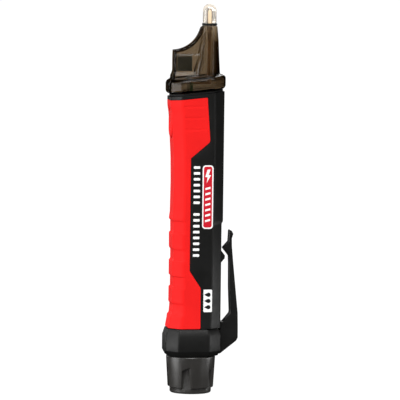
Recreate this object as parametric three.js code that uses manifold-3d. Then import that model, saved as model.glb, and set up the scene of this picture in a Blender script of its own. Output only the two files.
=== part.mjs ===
// Non contact voltage tester: a pocket tool with a sensing tip, a torch, a soft grip and
// a screw-on battery cap. Millimetres. +Z runs along the tool to the tip, -Y is the front
// (torch, thumb key and finger pads) and +Y the clip.
// The origin is the centre of the battery cap's flat end, on the cap's axis.
import * as THREE from 'three';
import { mergeVertices } from 'three/addons/utils/BufferGeometryUtils.js';
import Module from 'manifold-3d';

const wasm = await Module();
wasm.setup();

// ---- driving dimensions -------------------------------------------------------------------------

const GAP = 0.2;                 // clearance left between pieces that touch

const CAP_TOP = 16.7;            // height of the fluted cap
const CAP_TOP_R = 11.05;
const CAP_LOW_R = 10.3;
const LIP_R = 9.3;               // lip under the gripping lobes
const LOBE_LOW = 2.4;            // lower end of the lobes
const CAP_FLAT_R = 8.4;          // flat end that the tool stands on
const FLUTES = 5;
const FLUTE_TURN = -17.9;        // degrees from +X to the middle of the first flute
const FLUTE_FLOOR_R = 9.0;

const NECK_R = 6.9;              // threaded neck of the cap
const NECK_BORE_R = 5.95;
const NECK_TOP = 27.0;
const PITCH = 2.6;               // screw thread
const THREAD_CREST_R = 7.6;
const THREAD_LOW = 21.4;
const THREAD_TURNS = 1.75;
const SOCKET_R = 7.95;           // the housing's threaded socket
const SOCKET_CREST_R = 7.35;

const RING_LOW = 17.0;           // skirt of the clip collar
const RING_TOP = 29.2;
const RING_HALF_X = 11.2;

const BODY_LOW = 29.6;
const REAR_HIGH = 13.3;          // rear face above the clip's recess
const REAR_LOW = 12.7;           // rear face along the clip
const REAR_STEP = 77.0;          // height of the step between them
const SKIN = 1.6;                // thickness of the soft grip
const SLANT = 0.105;             // the nose joint rises this much per millimetre towards the rear

const COLLAR_LOW = 135.7;        // nose collar, on the plane Y = 0
const COLLAR_TOP = 142.1;
const GASKET = 0.8;

const TIP_Y = 6.85;              // axis of the sensing tip
const CONE_TOP = 165.0;
const DOME_R = 3.02;
const DOME_TOP = 174.8;
const TORCH_FRONT = -9.5;        // front of the torch box
const TORCH_HALF_X = 3.8;
const TORCH_FLARE = 0.8;         // its foot widens by this much
const WEB_R = 12.8;              // concave web between the torch box and the cone
const WEB_Y = -9.6;
const WEB_Z = 167.0;
const NOSE_WALL = 1.2;

const CELL_R = 5.2;              // AAA cell
const CELL_LENGTH = 44.5;
const CELL_LOW = 19.6;

const BUTTON_Z = 121.5;          // thumb key
const BUTTON_HALF_X = 4.4;
const BUTTON_HALF_Z = 6.6;
const BUTTON_TRAVEL = 0.5;
const PLUNGER_R = 1.6;
const PLUNGER_FRONT = -6.4;         // front and rear ends of the plunger, along Y
const PLUNGER_REAR = -5.0;

const CLIP_HALF_X = 3.0;
const CLIP_SPLIT = 35.6;         // height where the arm starts to flex

// ---- materials ----------------------------------------------------------------------------------

const finish = (color, roughness, metalness = 0, opacity = 1) =>
  new THREE.MeshStandardMaterial({ color, roughness, metalness, opacity, transparent: opacity < 1 });

const BLACK_ABS = finish(0x1c1c1b, 0.5);
const RED_RUBBER = finish(0xf0211f, 0.55);
const GREY_ABS = finish(0x3c3b39, 0.5);
const SMOKE = finish(0x4a3d2c, 0.12, 0, 0.6);
const MILKY = finish(0xefe4d2, 0.25, 0, 0.6);
const SEAL = finish(0x101010, 0.7);
const COPPER = finish(0xd8a47c, 0.4, 0.6);
const WHITE_ABS = finish(0xd9d6cc, 0.5);
const LED_CLEAR = finish(0xf2efe2, 0.1, 0, 0.7);
const LED_RED = finish(0xd0241c, 0.15, 0, 0.8);
const BOARD = finish(0x1f5a33, 0.5);
const CHIP = finish(0x151515, 0.45);
const STEEL = finish(0xb9bcc0, 0.25, 1);
const CELL_WRAP = finish(0x2f5f9e, 0.35);

// ---- helpers: three.js geometry to a solid and back ---------------------------------------------

function solid(geometry) {
  const bare = geometry.index ? geometry.toNonIndexed() : geometry.clone();
  for (const name of Object.keys(bare.attributes)) {
    if (name !== 'position') bare.deleteAttribute(name);
  }
  const merged = mergeVertices(bare, 1e-4);
  const index = merged.index.array;
  const kept = [];
  for (let i = 0; i < index.length; i += 3) {
    const [a, b, c] = [index[i], index[i + 1], index[i + 2]];
    if (a !== b && b !== c && c !== a) kept.push(a, b, c);
  }
  return new wasm.Manifold(new wasm.Mesh({
    numProp: 3,
    vertProperties: new Float32Array(merged.attributes.position.array),
    triVerts: new Uint32Array(kept),
  }));
}

function geometryOf(manifold) {
  const mesh = manifold.getMesh();
  const geometry = new THREE.BufferGeometry();
  geometry.setAttribute('position', new THREE.BufferAttribute(new Float32Array(mesh.vertProperties), 3));
  geometry.setIndex(new THREE.BufferAttribute(new Uint32Array(mesh.triVerts), 1));
  return geometry;
}

const radians = (degrees) => THREE.MathUtils.degToRad(degrees);
const tester = new THREE.Group();

function add(name, shape, material) {
  const geometry = shape.getMesh ? geometryOf(shape) : shape;
  geometry.computeVertexNormals();
  const mesh = new THREE.Mesh(geometry, material);
  mesh.name = name;
  tester.add(mesh);
  return mesh;
}

// ---- helpers: shapes ----------------------------------------------------------------------------

// A polygon with each corner [x, y, radius] rounded by an arc of `steps` chords.
function rounded(corners, steps = 2) {
  const outline = [];
  corners.forEach(([x, y, radius], i) => {
    const before = corners[(i + corners.length - 1) % corners.length];
    const after = corners[(i + 1) % corners.length];
    const corner = new THREE.Vector2(x, y);
    const back = new THREE.Vector2(before[0], before[1]).sub(corner).normalize();
    const ahead = new THREE.Vector2(after[0], after[1]).sub(corner).normalize();
    if (!radius) {
      outline.push(corner);
      return;
    }
    const half = Math.acos(THREE.MathUtils.clamp(back.dot(ahead), -1, 1)) / 2;
    const centre = back.clone().add(ahead).normalize().multiplyScalar(radius / Math.sin(half)).add(corner);
    const reach = radius / Math.tan(half);
    const from = back.clone().multiplyScalar(reach).add(corner).sub(centre).angle();
    let turn = ahead.clone().multiplyScalar(reach).add(corner).sub(centre).angle() - from;
    if (turn > Math.PI) turn -= 2 * Math.PI;
    if (turn < -Math.PI) turn += 2 * Math.PI;
    for (let s = 0; s <= steps; s++) {
      const angle = from + (turn * s) / steps;
      const spoke = new THREE.Vector2(Math.cos(angle), Math.sin(angle)).multiplyScalar(radius);
      outline.push(spoke.add(centre));
    }
  });
  return outline;
}

// A stack of rings with the same number of points, each { z, ring }, closed at both ends.
function loft(levels) {
  const count = levels[0].ring.length;
  const position = [];
  for (const { z, ring } of levels) {
    for (const point of ring) position.push(point.x, point.y, z);
  }
  for (const { z, ring } of [levels[0], levels[levels.length - 1]]) {
    const middle = ring.reduce((sum, point) => sum.clone().add(point)).divideScalar(count);
    position.push(middle.x, middle.y, z);
  }
  const index = [];
  const foot = levels.length * count;
  const last = (levels.length - 1) * count;
  for (let i = 0; i < count; i++) {
    const j = (i + 1) % count;
    for (let level = 0; level < levels.length - 1; level++) {
      const low = level * count;
      const high = low + count;
      index.push(low + i, low + j, high + j, low + i, high + j, high + i);
    }
    index.push(foot, j, i, foot + 1, last + i, last + j);
  }
  const geometry = new THREE.BufferGeometry();
  geometry.setAttribute('position', new THREE.Float32BufferAttribute(position, 3));
  geometry.setIndex(index);
  return geometry;
}

const prism = (outline, low, high) => loft([{ z: low, ring: outline }, { z: high, ring: outline }]);

// An outline of [y, z] points carried along X from -half to +half, or between two given values.
function slab(outline, low, high) {
  const shape = new THREE.Shape(outline.map(([y, z]) => new THREE.Vector2(y, z)));
  const geometry = new THREE.ExtrudeGeometry(shape, { depth: high - low, bevelEnabled: false });
  const turned = new THREE.Matrix4().makeBasis(
    new THREE.Vector3(0, 1, 0), new THREE.Vector3(0, 0, 1), new THREE.Vector3(1, 0, 0));
  return geometry.applyMatrix4(turned).translate(low, 0, 0);
}

const asPairs = (outline) => outline.map((point) => [point.x, point.y]);

// A turned piece about the vertical line through (x, y); the profile is [radius, z] points.
function turned(profile, segments, x = 0, y = 0) {
  const points = profile.map(([radius, z]) => new THREE.Vector2(radius, z));
  return new THREE.LatheGeometry(points, segments).rotateX(Math.PI / 2).translate(x, y, 0);
}

const tube = (inner, outer, low, high, segments, x = 0, y = 0) =>
  turned([[inner, low], [outer, low], [outer, high], [inner, high], [inner, low]], segments, x, y);
const rod = (radius, low, high, segments, x = 0, y = 0) =>
  turned([[0, low], [radius, low], [radius, high], [0, high]], segments, x, y);
const block = (x0, x1, y0, y1, z0, z1) =>
  new THREE.BoxGeometry(x1 - x0, y1 - y0, z1 - z0).translate((x0 + x1) / 2, (y0 + y1) / 2, (z0 + z1) / 2);

const circle = (radius, centreY, count) => Array.from({ length: count }, (_, i) => {
  const angle = (2 * Math.PI * i) / count;
  return new THREE.Vector2(radius * Math.cos(angle), centreY + radius * Math.sin(angle));
});

// Raises every point by SLANT for each millimetre towards the rear.
const slanted = (geometry) =>
  geometry.applyMatrix4(new THREE.Matrix4().set(1, 0, 0, 0, 0, 1, 0, 0, 0, SLANT, 1, 0, 0, 0, 0, 1));

// The tool's eight-sided section with soft corners. `inset` shrinks it evenly.
function section({ halfX, front, rear, frontFlat = 5.2, rearFlat = 5.0, inset = 0, radius = 2.4 }) {
  const half = halfX - inset;
  const low = front + inset;
  const high = rear - inset;
  const flatCut = inset * 0.41;
  const frontCorner = low + (halfX - frontFlat) * 0.85 - flatCut;
  const rearCorner = high - (halfX - rearFlat) + flatCut;
  const soft = Math.max(0.6, radius - inset * 0.5);
  return rounded([
    [-(frontFlat - flatCut), low, soft], [frontFlat - flatCut, low, soft],
    [half, frontCorner, soft], [half, rearCorner, soft],
    [rearFlat - flatCut, high, soft], [-(rearFlat - flatCut), high, soft],
    [-half, rearCorner, soft], [-half, frontCorner, soft],
  ]);
}

// Straight lines between stations [z, value].
function between(stations, z) {
  const next = stations.findIndex(([height]) => height >= z);
  if (next <= 0) return stations[next < 0 ? stations.length - 1 : 0][1];
  const [z0, v0] = stations[next - 1];
  const [z1, v1] = stations[next];
  return v0 + ((v1 - v0) * (z - z0)) / (z1 - z0);
}

// A screw ridge around the Z axis from radius `root` to `crest`, wide at its root.
function ridge(root, crest, start, turns, phase, rootWidth, crestWidth) {
  const steps = Math.round(turns * 24);
  const position = [];
  const index = [];
  for (let i = 0; i <= steps; i++) {
    const swept = (2 * Math.PI * turns * i) / steps;
    const height = start + (PITCH * swept) / (2 * Math.PI);
    const profile = [[root, -rootWidth / 2], [crest, -crestWidth / 2], [crest, crestWidth / 2],
      [root, rootWidth / 2]];
    for (const [radius, rise] of profile) {
      position.push(radius * Math.cos(swept + phase), radius * Math.sin(swept + phase), height + rise);
    }
  }
  for (let i = 0; i < steps; i++) {
    for (let side = 0; side < 4; side++) {
      const a = 4 * i + side;
      const b = 4 * i + ((side + 1) % 4);
      index.push(a, a + 4, b + 4, a, b + 4, b);
    }
  }
  const end = 4 * steps;
  index.push(0, 1, 2, 0, 2, 3, end, end + 2, end + 1, end, end + 3, end + 2);
  const geometry = new THREE.BufferGeometry();
  geometry.setAttribute('position', new THREE.Float32BufferAttribute(position, 3));
  geometry.setIndex(index);
  if (crest < root) {
    for (let i = 0; i < index.length; i += 3) [index[i + 1], index[i + 2]] = [index[i + 2], index[i + 1]];
    geometry.setIndex(index);
  }
  return geometry;
}

// ---- the grip's outer form ----------------------------------------------------------------------

// Front face, and the finger recesses cut in it as [low, high].
const FRONT = [[29.6, -11.2], [33, -10.55], [36.5, -10.1], [42, -9.7], [62, -9.7], [79, -9.9], [81, -9.5],
  [95, -9.3], [106, -9.45], [115, -9.95], [126, -10.6], [129.5, -11.2], [138, -11.2]];
const RECESSES = [[35.3, 40.9], [47.5, 53.1], [59.7, 65.3], [72.0, 78.2]];
const RECESS_DEPTH = 0.6;
const RECESS_EDGE = 0.5;         // height of the slope at each end of a recess
const WIDTH = [[29.6, 10.5], [38, 10.05], [60, 9.85], [100, 9.85], [122, 10.05], [138, 10.4]];

const frontWithPads = (z) => {
  const recess = RECESSES.find(([low, high]) => z > low && z < high);
  if (!recess) return between(FRONT, z);
  const edge = Math.min(z - recess[0], recess[1] - z, RECESS_EDGE) / RECESS_EDGE;
  return between(FRONT, z) + RECESS_DEPTH * edge;
};
const rearFace = (z) => between([[REAR_STEP - 0.5, REAR_LOW], [REAR_STEP + 0.5, REAR_HIGH]], z);

const bodyLevel = (z, inset = 0, front = between(FRONT, z)) =>
  ({ z, ring: section({ halfX: between(WIDTH, z), front, rear: rearFace(z), inset }) });

const stationsOf = (...tables) => [...new Set(tables.flat())].sort((a, b) => a - b);
const BODY_STATIONS = stationsOf(
  FRONT.map(([z]) => z), WIDTH.map(([z]) => z), [REAR_STEP - 0.5, REAR_STEP + 0.5]);
const PAD_STATIONS = stationsOf(FRONT.map(([z]) => z), WIDTH.map(([z]) => z),
  RECESSES.flatMap(([low, high]) => [low, low + RECESS_EDGE, high - RECESS_EDGE, high]));
const CORE_STATIONS = [BODY_LOW, 38, 60, 100, 122, 138];

// Side view of the red grip, as corners [y, z, radius], grown by `grow` on its rear side.
function gripOutline(grow = 0) {
  const top = 132.9;
  return rounded([
    [-20, BODY_LOW - grow, 0], [2.5 + grow, BODY_LOW - grow, 0.4],
    [2.5 + grow, 47.9 - grow * 0.4, 1.5], [-2.6 + grow, 55.6 + grow * 0.4, 1.5],
    [-2.6 + grow, 106.2 - grow * 0.4, 1.5], [6.1 + grow, 113.6 - grow * 0.4, 1.8],
    [4.6 + grow, top + SLANT * 4.6 + grow, 0.6], [-20, top - SLANT * 20 + grow, 0],
  ], 3);
}

// ---- main housing -------------------------------------------------------------------------------

const HOUSING_TOP = COLLAR_LOW - GASKET - 2 * GAP;
const core = (inset, low, high) => loft([low, ...CORE_STATIONS.filter((z) => z > low && z < high), high]
  .map((z) => bodyLevel(z, inset, between(FRONT, z) + 0.35)));
const cavityRing = (inset) => rounded([
  [-3.6, -6.3 + inset, 1], [3.6, -6.3 + inset, 1], [6.9 - inset, -3.2, 1], [6.9 - inset, 8.0, 1],
  [3.6, 11.2 - inset, 1], [-3.6, 11.2 - inset, 1], [-6.9 + inset, 8.0, 1], [-6.9 + inset, -3.2, 1]]);

function housing() {
  const levels = BODY_STATIONS.map((z) => bodyLevel(z));
  const topCut = solid(slanted(block(-30, 30, -30, 30, HOUSING_TOP, HOUSING_TOP + 30)));
  const pocket = solid(slab(asPairs(gripOutline(GAP)), -20, 20)).subtract(solid(core(SKIN + GAP, 20, 150)));
  const nub = solid(slab([[REAR_LOW - 2, 57.6], [REAR_LOW, 58.4], [14.5, 60.6], [14.65, 61.6], [14.4, 62.5],
    [REAR_LOW, 64.6], [REAR_LOW - 2, 65.4]], -CLIP_HALF_X, CLIP_HALF_X));
  const neck = solid(turned([[0, RING_LOW + 0.3], [9.4, RING_LOW + 0.3], [9.4, BODY_LOW - GAP],
    [8.5, BODY_LOW - GAP], [8.5, 31], [0, 31]], 36));
  const socket = solid(turned([[0, 10], [8.65, 10], [8.65, 20.2], [SOCKET_R, 20.6],
    [SOCKET_R, 28.4], [7.3, 29.2], [7.3, 33], [0, 33]], 36));
  const cavity = solid(prism(cavityRing(0), 31, 150));
  const thread = solid(ridge(SOCKET_R + 0.3, SOCKET_CREST_R, THREAD_LOW, 2.0, Math.PI, 1.0, 0.55));
  const window = solid(new THREE.CylinderGeometry(2.4, 2.4, 8, 16).translate(0, -8, BUTTON_Z));
  return solid(loft(levels))
    .subtract(topCut).subtract(pocket).add(nub).add(neck)
    .subtract(socket).subtract(cavity).subtract(window).add(thread);
}

// ---- soft grip and thumb key --------------------------------------------------------------------

const keyOutline = (grow) => {
  const side = BUTTON_HALF_X + grow;
  const end = BUTTON_HALF_Z + grow;
  return rounded([[-side, -end, side - 0.05], [side, -end, side - 0.05], [side, end, side - 0.05],
    [-side, end, side - 0.05]], 5);
};

// The key's outline lies in XZ and is carried along Y from `low` to `high`.
function keyPrism(grow, low, high) {
  const geometry = prism(keyOutline(grow), -high, -low);
  return geometry.rotateX(Math.PI / 2).translate(0, 0, BUTTON_Z);
}

function grip() {
  const form = solid(loft(PAD_STATIONS.map((z) => bodyLevel(z, 0, frontWithPads(z)))));
  return form.intersect(solid(slab(asPairs(gripOutline()), -20, 20)))
    .subtract(solid(core(SKIN, 20, 150)))
    .subtract(solid(keyPrism(GAP + 0.1, -20, -5)));
}

function powerButton() {
  const face = between(FRONT, BUTTON_Z);
  const plate = solid(keyPrism(0, face - 0.1, face + 0.9));
  const raised = solid(keyPrism(-0.7, face - 0.42, face));
  const stem = solid(new THREE.CylinderGeometry(2.0, 2.0, 3.6, 16).translate(0, -6.6 - 1.8, BUTTON_Z));
  return plate.add(raised).add(stem);
}

// ---- clip collar and clip arm -------------------------------------------------------------------

const ringLevel = (z, inset) => ({
  z,
  ring: section({
    halfX: RING_HALF_X, front: -12.3, rear: 12.75, frontFlat: 5.4, rearFlat: 5.2, inset, radius: 1.6,
  }),
});

const ROOT_OUTLINE = [[9.6, 17.6], [12.9, 17.6], [20.3, 23.4], [20.95, 24.6], [20.95, 28.5],
  [20.85, CLIP_SPLIT], [17.65, CLIP_SPLIT], [14.4, 31.9], [12.9, 31.9], [12.9, 28.0], [9.6, 28.0]];

function clipCollar() {
  const ring = solid(loft([ringLevel(RING_LOW, 1.2), ringLevel(19.3, 0), ringLevel(26.0, 0),
    ringLevel(RING_TOP, 1.05)]));
  const root = solid(slab(ROOT_OUTLINE, -CLIP_HALF_X, CLIP_HALF_X));
  return ring.add(root).subtract(solid(rod(9.4 + GAP, 10, 40, 36)));
}

const ARM_OUTLINE = [
  [17.65, CLIP_SPLIT + GAP], [20.8, CLIP_SPLIT + GAP], [19.6, 47.5], [18.5, 58.3], [17.8, 66.0],
  [17.65, 69.6], [18.35, 71.6], [17.5, 73.3], [16.9, 73.0], [16.7, 70.4], [16.65, 68.0],
  [14.2, 65.5], [14.0, 65.1], [14.2, 64.7], [16.9, 61.4], [17.05, 58.3], [17.15, 47.5],
];

// ---- battery cap --------------------------------------------------------------------------------

const threadRidge = () => ridge(NECK_R - 0.3, THREAD_CREST_R, THREAD_LOW, THREAD_TURNS, 0, 1.0, 0.6);

function batteryCap() {
  const shell = turned([
    [0, 0], [CAP_FLAT_R, 0], [LIP_R - 0.25, 0.35], [LIP_R, 1.0], [LIP_R, LOBE_LOW],
    [CAP_LOW_R - 0.4, LOBE_LOW + 0.1], [CAP_LOW_R, LOBE_LOW + 0.8], [CAP_TOP_R, CAP_TOP - 0.5],
    [CAP_TOP_R - 0.45, CAP_TOP], [NECK_R, CAP_TOP], [NECK_R, 19.3], [7.65, 19.4], [7.65, 19.9],
    [NECK_R, 20.0], [NECK_R, NECK_TOP], [NECK_BORE_R, NECK_TOP], [NECK_BORE_R, 7.6], [0, 7.6]], 48);
  let cap = solid(shell).add(solid(threadRidge()));
  const flute = [[-2.6, LOBE_LOW - 0.4], [2.7, LOBE_LOW - 0.4], [1.35, 12.1], [-2.4, 10.4]];
  for (let i = 0; i < FLUTES; i++) {
    const cutter = slab(flute, FLUTE_FLOOR_R, 14).rotateZ(radians(FLUTE_TURN + (360 * i) / FLUTES));
    cap = cap.subtract(solid(cutter));
  }
  return cap;
}

// ---- nose: collar, torch box, web and cone ------------------------------------------------------

const collarLevel = (z, inset) => ({
  z,
  ring: section({
    halfX: 11.2, front: -12.0, rear: 13.7, frontFlat: 5.6, rearFlat: 5.3, inset, radius: 2.6,
  }),
});
// The cone's axis (y) and radius by height.
const CONE = [[132, 4.9, 7.4], [144, 5.25, 6.45], [151.5, 6.0, 5.3], [158.6, 6.53, 4.45],
  [CONE_TOP, TIP_Y, 3.5]];
const coneAxis = CONE.map(([z, y]) => [z, y]);
const coneRadius = CONE.map(([z, , radius]) => [z, radius]);

const coneHeights = (low, high) => [low, ...CONE.map(([z]) => z).filter((z) => z > low && z < high), high];

const coneForm = (wall, low, high) => loft(coneHeights(low, high)
  .map((z) => ({
    z,
    ring: circle(between(coneRadius, z) - wall, between(coneAxis, z), 32),
  })));

// Half width of the torch box by height: a flared foot, straight sides, then a web that
// narrows into the cone.
const TORCH_WIDTH = [[142.6, TORCH_HALF_X + TORCH_FLARE], [144.6, TORCH_HALF_X], [154, TORCH_HALF_X],
  [160, TORCH_HALF_X - 0.7], [CONE_TOP - 0.6, TORCH_HALF_X - 1.7]];

function torchBox(wall, low) {
  const box = loft([low, ...TORCH_WIDTH.map(([z]) => z)].map((z) => {
    const half = between(TORCH_WIDTH, z) - wall;
    const front = TORCH_FRONT + wall - between([[142.6, TORCH_FLARE], [144.6, 0]], z);
    const soft = wall ? 0.4 : 1.0;
    const outline = [[-half, front, soft], [half, front, soft], [half, 4.6, 0.3], [-half, 4.6, 0.3]];
    return { z, ring: rounded(outline, 3) };
  }));
  const web = new THREE.CylinderGeometry(WEB_R + wall, WEB_R + wall, 40, 72).rotateZ(Math.PI / 2)
    .translate(0, WEB_Y, WEB_Z);
  return solid(box).subtract(solid(web));
}

function noseHousing() {
  const collar = solid(slanted(loft([collarLevel(COLLAR_LOW, 0.9), collarLevel(COLLAR_LOW + 1.1, 0),
    collarLevel(COLLAR_TOP - 1.1, 0), collarLevel(COLLAR_TOP, 1.0)])));
  const spigot = solid(prism(cavityRing(GAP), 130.2, COLLAR_LOW + 1));
  const outside = collar.add(solid(coneForm(0, 139, CONE_TOP)))
    .add(torchBox(0, COLLAR_TOP - 3)).add(spigot);
  const shaft = solid(prism(cavityRing(1.2), 129, 140.5));
  const bore = solid(rod(2.85, 150, 170, 32, 0, TIP_Y));
  const hollow = solid(coneForm(NOSE_WALL, 139.5, 163))
    .add(torchBox(NOSE_WALL, 138.9)).add(shaft).add(bore);
  return outside.subtract(hollow);
}

const gasket = () => slanted(loft([COLLAR_LOW - GASKET - GAP, COLLAR_LOW - GAP].map((z) => ({
  z,
  ring: section({ halfX: 10.3, front: -10.8, rear: 13.0, inset: 0.4 }),
}))));

// ---- tip ----------------------------------------------------------------------------------------

function tipDome() {
  const middle = DOME_TOP - DOME_R;
  const profile = [[2.5, 158.5], [2.5, 166.3], [DOME_R, 166.3]];
  const steps = 8;
  for (let i = 0; i <= steps; i++) {
    const angle = (Math.PI / 2) * (i / steps);
    profile.push([DOME_R * Math.cos(angle), middle + DOME_R * Math.sin(angle)]);
  }
  const inner = 1.85;
  for (let i = steps; i >= 0; i--) {
    const angle = (Math.PI / 2) * (i / steps);
    profile.push([inner * Math.cos(angle), middle - 0.6 + inner * Math.sin(angle)]);
  }
  profile[steps + 3][0] = 0;
  profile[steps + 4][0] = 0;
  profile.push([inner, 158.5], [2.5, 158.5]);
  return turned(profile, 32, 0, TIP_Y);
}

const sensorOutline = [
  [-1.1, 139.6], [8.0, 139.6], [8.05, 171.7], [7.7, 172.55], [6.85, 172.9], [6.0, 172.55], [5.65, 171.7],
  [5.65, 141.0], [-1.1, 141.0],
];

// ---- inside -------------------------------------------------------------------------------------

const BOARD_FRONT = -2.6;
const BOARD_REAR = -1.4;
const TORCH_Y = -4.6;

function torchHolder() {
  const body = solid(block(-2.35, 2.35, -8.0, -1.3, 144.8, 152.0));
  const cup = solid(turned([[0, 146.4], [1.95, 146.4], [2.1, 153], [0, 153]], 24, 0, TORCH_Y));
  const leads = solid(block(-1.6, 1.6, TORCH_Y - 0.7, TORCH_Y + 0.7, 143, 147));
  return body.subtract(cup).subtract(leads);
}

function lamp(radius, low, top, x, y) {
  const dome = top - radius;
  const profile = [[0, low], [radius + 0.25, low], [radius + 0.25, low + 0.8], [radius, low + 0.8]];
  for (let i = 0; i <= 5; i++) {
    const angle = (Math.PI / 2) * (i / 5);
    profile.push([i === 5 ? 0 : radius * Math.cos(angle), dome + radius * Math.sin(angle)]);
  }
  const leads = [-1, 1].map((side) => solid(block(
    x + side * 0.8 - 0.25, x + side * 0.8 + 0.25, y - 0.25, y + 0.25, low - 4.2, low + 0.4)));
  return solid(turned(profile, 20, x, y)).add(leads[0]).add(leads[1]);
}

function cell(low) {
  const top = low + CELL_LENGTH;
  return turned([[0, low], [CELL_R - 0.5, low], [CELL_R, low + 0.4], [CELL_R, top - 1.5],
    [CELL_R - 0.4, top - 1.1],
    [1.9, top - 1.1], [1.9, top - 0.1], [1.75, top], [0, top]], 28);
}

function spring() {
  class Coil extends THREE.Curve {
    getPoint(t, target = new THREE.Vector3()) {
      const turns = 4.5;
      const radius = THREE.MathUtils.lerp(4.2, 2.3, t);
      const angle = 2 * Math.PI * turns * t;
      const height = THREE.MathUtils.lerp(9.0, 19.0, t);
      return target.set(radius * Math.cos(angle), radius * Math.sin(angle), height);
    }
  }
  const wire = new THREE.Shape(circle(0.35, 0, 6));
  return new THREE.ExtrudeGeometry(wire, { steps: 72, extrudePath: new Coil(), bevelEnabled: false });
}

function positiveContact() {
  const plate = solid(rod(4.6, 109.3, 109.8, 24));
  const tab = solid(block(-4.2, -2.4, BOARD_REAR + GAP, BOARD_REAR + GAP + 0.5, 109.5, 113.5));
  return plate.add(tab);
}

// A round peg along Y, centred on the thumb key.
const peg = (radius, front, rear) => new THREE.CylinderGeometry(radius, radius, rear - front, 16)
  .translate(0, (front + rear) / 2, BUTTON_Z);

function tactileSwitch() {
  const body = solid(block(-3, 3, -5.4, BOARD_FRONT - GAP, BUTTON_Z - 3, BUTTON_Z + 3));
  const wellFloor = PLUNGER_REAR + BUTTON_TRAVEL + 0.1;
  return body.subtract(solid(peg(PLUNGER_R + 0.25, PLUNGER_FRONT, wellFloor)));
}

// ---- assembly -----------------------------------------------------------------------------------

const cellGap = CELL_LOW + CELL_LENGTH + 0.3;

add('main_housing', housing(), BLACK_ABS);
add('grip_overmould', grip(), RED_RUBBER);
add('clip_collar', clipCollar(), BLACK_ABS);
add('clip_arm', solid(slab(ARM_OUTLINE, -CLIP_HALF_X, CLIP_HALF_X)), BLACK_ABS);
add('nose_housing', noseHousing(), SMOKE);
add('nose_gasket', solid(gasket()).subtract(solid(prism(cavityRing(0), 120, 150))), SEAL);
add('tip_seal_ring', tube(2.75, 3.4, CONE_TOP + 0.15, CONE_TOP + 1.1, 32, 0, TIP_Y), SEAL);
add('tip_dome', tipDome(), MILKY);
add('sensor_strip', slab(sensorOutline, -0.4, 0.4), COPPER);
add('torch_holder', torchHolder(), WHITE_ABS);
add('torch_led', lamp(1.5, 147.0, 152.4, 0, TORCH_Y), LED_CLEAR);
add('warning_led', lamp(1.4, 146.5, 151.5, -2.6, 5.6), LED_RED);
add('circuit_board', block(-5.4, 5.4, BOARD_FRONT, BOARD_REAR, 111.0, 140.2), BOARD);
add('controller_chip', block(-2.5, 2.5, -4.3, BOARD_FRONT - GAP, 130.0, 135.0), CHIP);
add('tactile_switch', tactileSwitch(), CHIP);
add('switch_plunger', peg(PLUNGER_R, PLUNGER_FRONT, PLUNGER_REAR), WHITE_ABS);
const buzzerCan = new THREE.CylinderGeometry(5.4, 5.4, 3.2, 24).translate(0, BOARD_REAR + GAP + 1.6, 127.0);
const soundHole = new THREE.CylinderGeometry(1.0, 1.0, 2.0, 12).translate(0, BOARD_REAR + 4, 127.0);
add('buzzer', solid(buzzerCan).subtract(solid(soundHole)), CHIP);
add('positive_contact', positiveContact(), STEEL);
add('battery_tube', tube(5.5, 6.2, 29.6, 108.8, 28), WHITE_ABS);
add('battery_lower', cell(CELL_LOW), CELL_WRAP);
add('battery_upper', cell(cellGap), CELL_WRAP);
add('negative_strip', slab([[5.9, 27.6], [7.1, 27.6], [7.1, 113.2], [-1.0, 113.2], [-1.0, 112.7],
  [6.6, 112.7],
  [6.6, 28.1], [5.9, 28.1]], -1.5, 1.5), STEEL);
const cupProfile = [[0, 7.9], [5.75, 7.9], [5.75, 27.3], [5.45, 27.3], [5.45, 8.3], [0, 8.3]];
add('contact_cup', turned(cupProfile, 28), STEEL);
add('battery_spring', spring(), STEEL);
add('battery_cap', batteryCap(), GREY_ABS);
add('cap_o_ring', new THREE.TorusGeometry(7.75, 0.6, 8, 32).translate(0, 0, 18.1), SEAL);
add('power_button', powerButton(), RED_RUBBER);

export default tester;
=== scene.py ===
"""Looks of the non contact voltage tester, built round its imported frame.

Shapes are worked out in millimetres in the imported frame: +Z along the tool to the tip, -Y the
front, +X the printed side. `build` turns them into Blender meshes in metres.
"""
import math

import bmesh
import bpy
import numpy as np
from mathutils import Matrix, Vector


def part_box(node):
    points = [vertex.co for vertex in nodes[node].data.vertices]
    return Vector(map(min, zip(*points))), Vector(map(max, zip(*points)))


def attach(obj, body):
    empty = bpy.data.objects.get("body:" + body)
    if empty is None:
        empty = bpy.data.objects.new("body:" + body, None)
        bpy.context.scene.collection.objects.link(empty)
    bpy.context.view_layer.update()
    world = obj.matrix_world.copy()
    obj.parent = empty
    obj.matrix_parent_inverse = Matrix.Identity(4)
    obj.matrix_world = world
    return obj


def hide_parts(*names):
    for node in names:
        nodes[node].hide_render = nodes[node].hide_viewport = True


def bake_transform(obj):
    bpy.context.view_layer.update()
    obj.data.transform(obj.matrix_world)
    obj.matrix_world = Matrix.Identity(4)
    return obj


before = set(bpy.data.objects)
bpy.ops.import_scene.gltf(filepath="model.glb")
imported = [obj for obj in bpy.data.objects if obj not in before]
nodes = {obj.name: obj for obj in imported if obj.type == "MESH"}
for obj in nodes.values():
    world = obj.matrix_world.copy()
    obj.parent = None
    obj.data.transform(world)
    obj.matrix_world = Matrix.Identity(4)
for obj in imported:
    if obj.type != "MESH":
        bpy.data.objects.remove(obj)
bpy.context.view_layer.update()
MM = 0.001
UP = Vector((0, 0, 1))


def top_of(node):
    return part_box(node)[1] / MM


def foot_of(node):
    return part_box(node)[0] / MM


# ---- driving sizes, in millimetres --------------------------------------------------------------

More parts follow.
